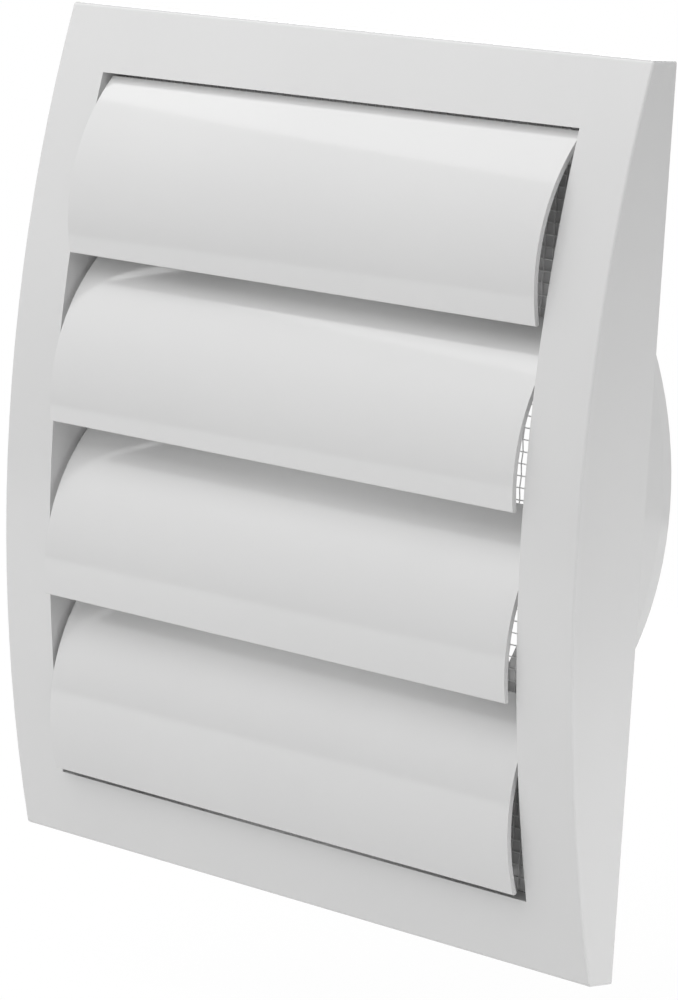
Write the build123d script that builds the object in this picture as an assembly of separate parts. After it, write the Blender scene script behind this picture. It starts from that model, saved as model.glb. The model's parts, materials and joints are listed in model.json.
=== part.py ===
from build123d import *
import os
from math import cos, degrees, radians, sin

os.makedirs("parts", exist_ok=True)

# Front frame: a square moulding whose face is arched from top to bottom
side = 165.0
depth_at_edge = 5.5
depth_at_middle = 16.0
wall = 2.0
rail_round = 0.8
edge_round = 0.5

# Window in the face, with lining walls that run back to the screen
stile_width = 14.5
rail_height = 13.0
lining_wall = 2.2

# Duct flange: a plate let into the back of the frame, with the spigot on it
plate_thickness = 2.0
plate_recess = 0.5
plate_clearance = 0.15
duct_bore = 125.0
spigot_clearance = 0.5
spigot_wall = 2.0
spigot_length = 27.0
spigot_lead = 2.5
spigot_taper = 0.5
plate_round = 0.5
snap_height = 0.4
snap_length = 30.0

# Insect screen: its CAD form is a coarse grid of strands
screen_thickness = 0.5
screen_overlap = 3.5
screen_columns = 10
screen_rows = 11
screen_strand = 1.6

# Louvre blades: arched sheets that hang on pins moulded on their ends
blade_radius = 40.0
blade_thickness = 0.9
blade_overlap = 3.3
blade_edge_round = 0.3
blade_end_gap = 1.0
pivot_depth = 6.0
pivot_drop = 4.3
pivot_margin = 3.4
pivot_setback = 2.9
pivot_below_edge = 2.74
boss_radius = 2.6
boss_length = 3.0
shoulder_radius = 2.0
shoulder_gap = 0.2
pin_radius = 1.5
pin_clearance = 0.05
pin_reach = 1.9
stop_radius = 0.8
stop_length = 1.5
stop_below_pivot = 4.2
stop_clearance = 0.1
rest_tilt = (13.2, 8.6, 11.0, 20.5)

half = side / 2
window_width = side - 2 * stile_width
window_height = side - 2 * rail_height
half_window = window_width / 2
half_opening = window_height / 2
arch_rise = depth_at_middle - depth_at_edge
arch_radius = (half**2 + arch_rise**2) / (2 * arch_rise)
arch_centre = arch_radius - depth_at_middle
plate_back = -plate_recess
plate_front = plate_back - plate_thickness
lining_back = plate_front - screen_thickness
spigot_radius = duct_bore / 2 - spigot_clearance
blade_half = half_window - blade_end_gap
pivot_pitch = (window_height - pivot_margin) / len(rest_tilt)
pivot_radius = blade_radius - pivot_setback
blade_angle = degrees((pivot_pitch + blade_overlap) / blade_radius)
pivot_angle = blade_angle - degrees(pivot_below_edge / blade_radius)
stop_angle = pivot_angle - degrees(stop_below_pivot / blade_radius)


def arched_block(inset):
    # D-shaped block under the arch, drawn in on the face, the ends and the sides
    height = half - inset
    radius = arch_radius - inset
    edge = arch_centre - (radius**2 - height**2) ** 0.5
    outline = ThreePointArc((edge, -height), (arch_centre - radius, 0), (edge, height))
    outline += Polyline((edge, height), (0, height), (0, -height), (edge, -height))
    face = make_face(outline)
    if inset == 0:
        face = fillet(face.vertices().sort_by(Axis.X)[:2], rail_round)
    return extrude(Plane.YZ * face, height, both=True)


def pivot_of(index):
    # Place of a blade's pivot and of the centre of its arc, as (y, z)
    z = half_opening - pivot_drop - index * pivot_pitch
    turn = radians(pivot_angle - rest_tilt[index])
    centre = (-pivot_depth + pivot_radius * cos(turn), z - pivot_radius * sin(turn))
    return (-pivot_depth, z), centre


def on_arc(centre, radius, angle):
    return (centre[0] - radius * cos(radians(angle)), centre[1] + radius * sin(radians(angle)))


def rod(place, radius, start, end):
    # Round rod along X at a place (y, z)
    return extrude(Plane.YZ.offset(start) * Pos(*place) * Circle(radius), end - start)


def louvre(index):
    pivot, centre = pivot_of(index)
    low = -rest_tilt[index]
    high = low + blade_angle
    inner = blade_radius - blade_thickness
    front = [on_arc(centre, blade_radius, a) for a in (low, (low + high) / 2, high)]
    rear = [on_arc(centre, inner, a) for a in (low, (low + high) / 2, high)]
    outline = ThreePointArc(*front) + Line(front[2], rear[2])
    outline += ThreePointArc(*reversed(rear)) + Line(rear[0], front[0])
    section = make_face(outline)
    section = fillet(section.vertices(), blade_edge_round)
    blade = extrude(Plane.YZ * section, blade_half, both=True)
    shoulder_end = half_window - shoulder_gap
    pin_end = half_window + pin_reach
    end = rod(pivot, boss_radius, blade_half - boss_length, blade_half)
    end += rod(pivot, shoulder_radius, blade_half, shoulder_end)
    end += rod(pivot, pin_radius, shoulder_end, pin_end)
    return blade + end + mirror(end, Plane.YZ)


def front_frame():
    outer = arched_block(0)
    ends = outer.faces().sort_by(Axis.X)
    rims = ends[0].edges() + ends[-1].edges()
    rims = [e for e in rims if abs(e.center().Y) > 0.01]
    outer = fillet(rims, edge_round)
    lining_block = Box(
        window_width + 2 * lining_wall,
        2 * depth_at_middle,
        window_height + 2 * lining_wall,
    )
    lining = outer & Pos(0, lining_back - depth_at_middle, 0) * lining_block
    frame = outer - arched_block(wall) + lining
    frame -= Box(window_width, 4 * depth_at_middle, window_height)
    cheek_end = half_window + lining_wall
    for index in range(len(rest_tilt)):
        pivot, centre = pivot_of(index)
        frame -= rod(pivot, pin_radius + pin_clearance, -cheek_end, cheek_end)
        reach = blade_radius - blade_thickness - stop_radius - stop_clearance
        place = on_arc(centre, reach, stop_angle - rest_tilt[index])
        # One stop for each blade, on the left cheek
        frame += rod(place, stop_radius, -half_window - lining_wall / 2, stop_length - half_window)
    inside = half - wall
    bead = make_face(
        Polyline((plate_back, 0), (0, 0), (plate_back, -snap_height), (plate_back, 0))
    )
    bead = extrude(Plane.YZ * Pos(0, inside) * bead, snap_length / 2, both=True)
    for turn in range(4):
        frame += Rot(0, 90 * turn, 0) * bead
    return frame


def duct_flange():
    reach = half - wall - plate_clearance
    plate = Pos(0, plate_front + plate_thickness / 2, 0) * Box(2 * reach, plate_thickness, 2 * reach)
    plate = fillet(plate.edges().filter_by(Axis.Y), plate_round)
    bore = spigot_radius - spigot_wall
    tube = Polyline(
        (bore, plate_front),
        (spigot_radius, plate_front),
        (spigot_radius, spigot_length - spigot_lead),
        (spigot_radius - spigot_taper, spigot_length),
        (bore, spigot_length),
        (bore, plate_front),
    )
    flange = plate + revolve(make_face(tube), Axis.Y)
    return flange - extrude(Plane.XZ * Circle(bore), side, both=True)


def insect_screen():
    width = window_width + 2 * screen_overlap
    height = window_height + 2 * screen_overlap
    sheet = Rectangle(width, height)
    pitch_x = window_width / screen_columns
    pitch_z = window_height / screen_rows
    gap = Rectangle(pitch_x - screen_strand, pitch_z - screen_strand)
    sheet -= GridLocations(pitch_x, pitch_z, screen_columns, screen_rows) * gap
    return extrude(Plane.XZ.offset(-plate_front) * sheet, screen_thickness)


export_step(front_frame(), "parts/front_frame.step")
export_step(duct_flange(), "parts/duct_flange.step")
export_step(insect_screen(), "parts/insect_screen.step")
for number in range(len(rest_tilt)):
    export_step(louvre(number), f"parts/louvre_{number + 1}.step")
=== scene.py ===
import json
import math

import bmesh
import bpy
from mathutils import Matrix, Vector


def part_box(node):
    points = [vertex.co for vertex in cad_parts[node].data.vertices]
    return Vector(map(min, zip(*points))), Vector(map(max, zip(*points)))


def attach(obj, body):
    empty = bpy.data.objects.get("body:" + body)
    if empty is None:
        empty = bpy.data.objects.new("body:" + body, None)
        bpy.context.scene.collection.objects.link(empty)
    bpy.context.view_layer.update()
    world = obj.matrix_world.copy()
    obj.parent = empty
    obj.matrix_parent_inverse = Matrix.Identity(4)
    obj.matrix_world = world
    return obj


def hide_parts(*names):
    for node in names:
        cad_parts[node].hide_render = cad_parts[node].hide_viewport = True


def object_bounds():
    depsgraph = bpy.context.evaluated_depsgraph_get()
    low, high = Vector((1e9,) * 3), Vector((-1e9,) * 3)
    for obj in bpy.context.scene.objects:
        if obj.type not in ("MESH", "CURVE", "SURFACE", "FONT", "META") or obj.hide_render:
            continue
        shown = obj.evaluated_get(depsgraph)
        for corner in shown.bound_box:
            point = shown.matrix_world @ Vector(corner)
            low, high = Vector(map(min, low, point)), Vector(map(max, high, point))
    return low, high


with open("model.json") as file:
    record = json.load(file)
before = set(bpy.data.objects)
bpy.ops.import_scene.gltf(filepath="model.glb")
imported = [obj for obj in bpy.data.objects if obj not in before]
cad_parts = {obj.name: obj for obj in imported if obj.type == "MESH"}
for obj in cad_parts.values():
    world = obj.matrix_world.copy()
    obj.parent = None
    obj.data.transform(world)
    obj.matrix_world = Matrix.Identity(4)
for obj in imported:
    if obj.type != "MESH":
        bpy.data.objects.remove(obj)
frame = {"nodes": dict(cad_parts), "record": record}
cadLow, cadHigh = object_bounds()
nodes = frame["nodes"]
print("frame loaded:", ", ".join(sorted(nodes)))


class Wire:  # one output socket of a node tree
    def __init__(self, tree, socket=None):
        self.tree = tree
        self.socket = socket

    def node(self, kind, settings, sockets, output=0):  # any node, settings first, then its inputs
        made = self.tree.nodes.new(kind)
        for name, value in settings.items():
            setattr(made, name, value)
        for name, value in sockets.items():
            if isinstance(value, Wire):
                self.tree.links.new(value.socket, made.inputs[name])
            else:
                made.inputs[name].default_value = value
        return Wire(self.tree, made.outputs[output])

    def maths(self, operation, first, second):
        return self.node("ShaderNodeMath", {"operation": operation}, {0: first, 1: second})

    def __add__(self, other):
        return self.maths("ADD", self, other)

    __radd__ = __add__

    def __mul__(self, other):
        return self.maths("MULTIPLY", self, other)

    __rmul__ = __mul__

    def __sub__(self, other):
        return self.maths("SUBTRACT", self, other)

    def __rsub__(self, other):
        return self.maths("SUBTRACT", other, self)


def newMaterial(name):
    material = bpy.data.materials.new(name)
    material.use_nodes = True
    tree = material.node_tree
    return material, Wire(tree), tree.nodes["Principled BSDF"]


def link(wire, target, name):
    wire.tree.links.new(wire.socket, target.inputs[name])


def makeObject(name, mesh, material):  # a finished bmesh becomes an object at the origin
    data = bpy.data.meshes.new(name)
    mesh.to_mesh(data)
    mesh.free()
    data.materials.append(material)
    made = bpy.data.objects.new(name, data)
    bpy.context.scene.collection.objects.link(made)
    return made


frameLook = {
    "lightColour": (0.73, 0.73, 0.728),
    "darkColour": (0.70, 0.70, 0.70),
    "roughness": 0.22,
    "roughnessSpread": 0.06,
    "mottleScale": 22.0,  # patches to the metre, as is rippleScale
    "mottleDetail": 2.0,
    "rippleScale": 900.0,
    "rippleDetail": 1.0,
    "rippleStrength": 0.08,
    "rippleDepth": 0.00005,  # metres
    "ior": 1.49,
}
bladeLook = dict(frameLook, roughness=0.10, roughnessSpread=0.03)  # glossier than the frame
flangeLook = dict(frameLook, roughness=0.10, roughnessSpread=0.03)
screenLook = dict(
    frameLook,
    lightColour=(0.93, 0.93, 0.93),
    darkColour=(0.90, 0.90, 0.90),
    roughness=0.50,
    rippleStrength=0.02,
)
mixSockets = {"first": 6, "second": 7, "result": 2}  # colour sockets of a Mix node, whose names repeat
noiseMiddle = 0.5


def plasticNoise(start, place, scale, detail):
    return start.node("ShaderNodeTexNoise", {}, {"Vector": place, "Scale": scale, "Detail": detail})


def plasticMaterial(name, look):  # white plastic: faint mottling, uneven gloss, fine surface ripple
    material, start, shader = newMaterial(name)
    place = start.node("ShaderNodeTexCoord", {}, {}, "Object")
    mottle = plasticNoise(start, place, look["mottleScale"], look["mottleDetail"])
    ripple = plasticNoise(start, place, look["rippleScale"], look["rippleDetail"])
    colour = start.node(
        "ShaderNodeMix",
        {"data_type": "RGBA"},
        {
            "Factor": mottle,
            mixSockets["first"]: (*look["darkColour"], 1.0),
            mixSockets["second"]: (*look["lightColour"], 1.0),
        },
        mixSockets["result"],
    )
    gloss = look["roughness"] + (mottle - noiseMiddle) * look["roughnessSpread"]
    bump = start.node(
        "ShaderNodeBump",
        {},
        {"Strength": look["rippleStrength"], "Distance": look["rippleDepth"], "Height": ripple},
    )
    link(colour, shader, "Base Color")
    link(gloss, shader, "Roughness")
    link(bump, shader, "Normal")
    shader.inputs["IOR"].default_value = look["ior"]
    return material


finishes = {
    "frame_plastic": plasticMaterial("framePlastic", frameLook),
    "blade_plastic": plasticMaterial("bladePlastic", bladeLook),
    "flange_plastic": plasticMaterial("flangePlastic", flangeLook),
    "screen_netting": plasticMaterial("screenNetting", screenLook),
}


def dressNodes():  # each CAD node gets the finish of its record slot
    for part in frame["record"]["subparts"]:
        node = nodes[part["node"]]
        node.data.materials.clear()
        node.data.materials.append(finishes[part["material_slot"]])


dressNodes()
print("finishes set:", len(finishes))

netting = {
    "pitch": 0.0022,  # metres, as are the next two
    "strandRadius": 0.000125,
    "weave": 0.000125,  # how far a strand bends to each side of the sheet's middle
    "strandSides": 5,
    "spansPerCell": 2,  # straight spans from one crossing to the next
}
quarterTurn = math.pi / 2


def makeStrand(length, cells):  # a strand along X, bent over and under the strands it crosses
    strand = bmesh.new()
    bmesh.ops.create_cone(
        strand,
        cap_ends=True,
        segments=netting["strandSides"],
        radius1=netting["strandRadius"],
        radius2=netting["strandRadius"],
        depth=length,
        matrix=Matrix.Rotation(quarterTurn, 4, "Y"),
    )
    along = [edge for edge in strand.edges if abs(edge.verts[0].co.x - edge.verts[1].co.x) > length / 2]
    cuts = cells * netting["spansPerCell"] - 1
    bmesh.ops.subdivide_edges(strand, edges=along, cuts=cuts, use_grid_fill=False)
    halfCell = netting["pitch"] / 2
    for vert in strand.verts:
        crossing = (vert.co.x + length / 2 - halfCell) / netting["pitch"]  # a whole number at each crossing
        vert.co.y += netting["weave"] * math.cos(math.pi * crossing)
    return strand


def layStrands(mesh, cells, count, turned):  # copies across the sheet, every other one bent the other way
    strand = makeStrand(cells * netting["pitch"], cells)
    if turned:  # upright, with its start at the bottom
        bmesh.ops.rotate(strand, verts=strand.verts, matrix=Matrix.Rotation(-quarterTurn, 3, "Y"))
    step = Vector((netting["pitch"], 0, 0)) if turned else Vector((0, 0, netting["pitch"]))
    first = -step * (count - 1) / 2
    data = bpy.data.meshes.new("strand")
    strand.to_mesh(data)
    strand.free()
    for index in range(count):
        before = len(mesh.verts)
        mesh.from_mesh(data)
        mesh.verts.ensure_lookup_table()
        added = mesh.verts[before:]
        side = 1 if (index % 2 == 0) != turned else -1
        bmesh.ops.scale(mesh, verts=added, vec=(1, side, 1))
        bmesh.ops.translate(mesh, verts=added, vec=first + step * index)
    bpy.data.meshes.remove(data)


def makeNetting():
    low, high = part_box("insect_screen")
    columns = round((high.x - low.x) / netting["pitch"])
    rows = round((high.z - low.z) / netting["pitch"])
    mesh = bmesh.new()
    layStrands(mesh, columns, rows, False)
    layStrands(mesh, rows, columns, True)
    bmesh.ops.translate(mesh, verts=mesh.verts, vec=(low + high) / 2)
    bmesh.ops.recalc_face_normals(mesh, faces=mesh.faces)  # the flipped strands are inside out
    sheet = makeObject("insectNetting", mesh, finishes["screen_netting"])
    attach(sheet, "housing")
    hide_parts("insect_screen")
    print("netting:", columns, "by", rows, "strands,", len(sheet.data.polygons), "faces")


makeNetting()

studio = {
    "floorDrop": 0.03,  # floor below the frame's lowest edge
    "floorRadius": 0.65,
    "floorSides": 96,
    "floorColour": (0.70, 0.70, 0.70),
    "floorRoughness": 0.9,
    "floorGlow": 1.03,
    "floorWhiteness": 0.92,  # how far the seen floor is lifted to white
    "cardRadius": 0.66,
    "cardHeight": 0.55,
    "cardLow": 0.08,  # brightness at the card's foot and top
    "cardHigh": 1.6,
    "cardStart": 80.0,  # degrees from +X; from there it runs round the right and the front
    "cardTurn": -240.0,
    "cardSteps": 48,
    "fillStrength": 0.39,
}
lamps = {  # name: place, side in metres, power in watts, whether gloss shows it
    "frontSoftbox": ((0.0, -0.80, 0.90), 1.0, 5.3, True),
    "leftSoftbox": ((-0.90, -0.50, 0.70), 0.8, 3.4, True),
    "frontFill": ((-0.20, -1.00, 0.10), 0.6, 1.6, True),
    "sideFill": ((0.27, 0.03, -0.09), 0.12, 0.22, False),
    "backLight": ((0.40, 0.90, 0.50), 0.8, 2.0, True),
    "rearFill": ((-0.60, 0.85, 0.40), 0.8, 2.6, True),
}
white = (1.0, 1.0, 1.0, 1.0)
floorLevel = cadLow.z - studio["floorDrop"]


def seenRays(start):  # 1 where the camera, a reflection or a clear body looks, 0 for scattered light
    kinds = ("Is Camera Ray", "Is Glossy Ray", "Is Transmission Ray")
    camera, glossy, clear = (start.node("ShaderNodeLightPath", {}, {}, kind) for kind in kinds)
    return camera + glossy + clear


def floorMaterial():  # matt white paper, lifted to the white of the background where it is seen
    material, start, shader = newMaterial("floorWhite")
    shader.inputs["Base Color"].default_value = (*studio["floorColour"], 1.0)
    shader.inputs["Roughness"].default_value = studio["floorRoughness"]
    glow = start.node("ShaderNodeEmission", {}, {"Color": white, "Strength": studio["floorGlow"]})
    lift = seenRays(start) * studio["floorWhiteness"]
    paper = Wire(start.tree, shader.outputs[0])
    mixed = start.node("ShaderNodeMixShader", {}, {0: lift, 1: paper, 2: glow})
    link(mixed, start.tree.nodes["Material Output"], "Surface")
    return material


def makeFloor():
    mesh = bmesh.new()
    bmesh.ops.create_circle(
        mesh, cap_ends=True, segments=studio["floorSides"], radius=studio["floorRadius"]
    )
    bmesh.ops.translate(mesh, verts=mesh.verts, vec=(0, 0, floorLevel))
    makeObject("floor", mesh, floorMaterial())


def cardMaterial():  # dark at its foot, paler upwards
    material, start, shader = newMaterial("cardGrey")
    place = start.node("ShaderNodeTexCoord", {}, {}, "Object")
    height = start.node("ShaderNodeSeparateXYZ", {}, {0: place}, "Z")
    rise = (studio["cardHigh"] - studio["cardLow"]) / studio["cardHeight"]
    brightness = studio["cardLow"] + (height - floorLevel) * rise
    glow = start.node("ShaderNodeEmission", {}, {"Color": brightness})
    start.tree.nodes.remove(shader)
    link(glow, start.tree.nodes["Material Output"], "Surface")
    material.cycles.emission_sampling = "NONE"
    return material


def makeCard():  # graded card in front and to the right, which gives the gloss something darker to show
    start = math.radians(studio["cardStart"])
    radius = studio["cardRadius"]
    mesh = bmesh.new()
    foot = mesh.verts.new((radius * math.cos(start), radius * math.sin(start), floorLevel))
    top = mesh.verts.new(foot.co + Vector((0, 0, studio["cardHeight"])))
    edge = mesh.edges.new((foot, top))
    bmesh.ops.spin(
        mesh,
        geom=[foot, top, edge],
        cent=(0, 0, 0),
        axis=(0, 0, 1),
        angle=math.radians(studio["cardTurn"]),
        steps=studio["cardSteps"],
    )
    card = makeObject("card", mesh, cardMaterial())
    card.visible_camera = False
    card.visible_diffuse = False
    card.visible_shadow = False


def makeWorld():  # plain fill light, and white where the camera or a reflection sees past the floor
    world = bpy.data.worlds.new("studioWorld")
    bpy.context.scene.world = world
    world.use_nodes = True
    background = world.node_tree.nodes["Background"]
    background.inputs["Color"].default_value = white
    seen = seenRays(Wire(world.node_tree))
    strength = studio["fillStrength"] + seen * (1.0 - studio["fillStrength"])
    link(strength, background, "Strength")


def makeLamp(name, place, side, power, shown):  # square softbox that faces the middle of the part
    lamp = bpy.data.lights.new(name, "AREA")
    lamp.shape = "SQUARE"
    lamp.size = side
    lamp.energy = power
    made = bpy.data.objects.new(name, lamp)
    bpy.context.scene.collection.objects.link(made)
    made.location = place
    made.rotation_mode = "QUATERNION"
    made.rotation_quaternion = (-Vector(place)).to_track_quat("-Z", "Y")
    made.visible_camera = False
    made.visible_glossy = shown


makeFloor()
makeCard()
makeWorld()
for name, settings in lamps.items():
    makeLamp(name, *settings)
print("studio set:", len(lamps), "lamps")

shot = {
    "azimuth": 48.844,  # degrees to the right of the front
    "elevation": 7.001,
    "roll": 3.643,
    "distance": 0.96871,
    "target": (0.01741, -0.015, -0.00328),
    "focalPixels": 5254.9,
    "longSide": 1000,  # pixels of the image's long side
    "clipStart": 0.01,
    "clipEnd": 20.0,
}


def makeCamera():
    turn, lift, roll = (math.radians(shot[name]) for name in ("azimuth", "elevation", "roll"))
    back = Vector((math.sin(turn) * math.cos(lift), -math.cos(turn) * math.cos(lift), math.sin(lift)))
    right = Vector((0, 0, 1)).cross(back).normalized()
    up = back.cross(right)
    across = right * math.cos(roll) + up * math.sin(roll)
    above = up * math.cos(roll) - right * math.sin(roll)
    data = bpy.data.cameras.new("camera")
    data.lens = shot["focalPixels"] * data.sensor_width / shot["longSide"]
    data.clip_start = shot["clipStart"]
    data.clip_end = shot["clipEnd"]
    camera = bpy.data.objects.new("camera", data)
    bpy.context.scene.collection.objects.link(camera)
    eye = Vector(shot["target"]) + back * shot["distance"]
    facing = Matrix((across, above, back)).transposed().to_4x4()
    camera.matrix_world = Matrix.Translation(eye) @ facing
    bpy.context.scene.camera = camera


makeCamera()
bpy.context.scene.view_settings.view_transform = "Standard"
print("camera set")
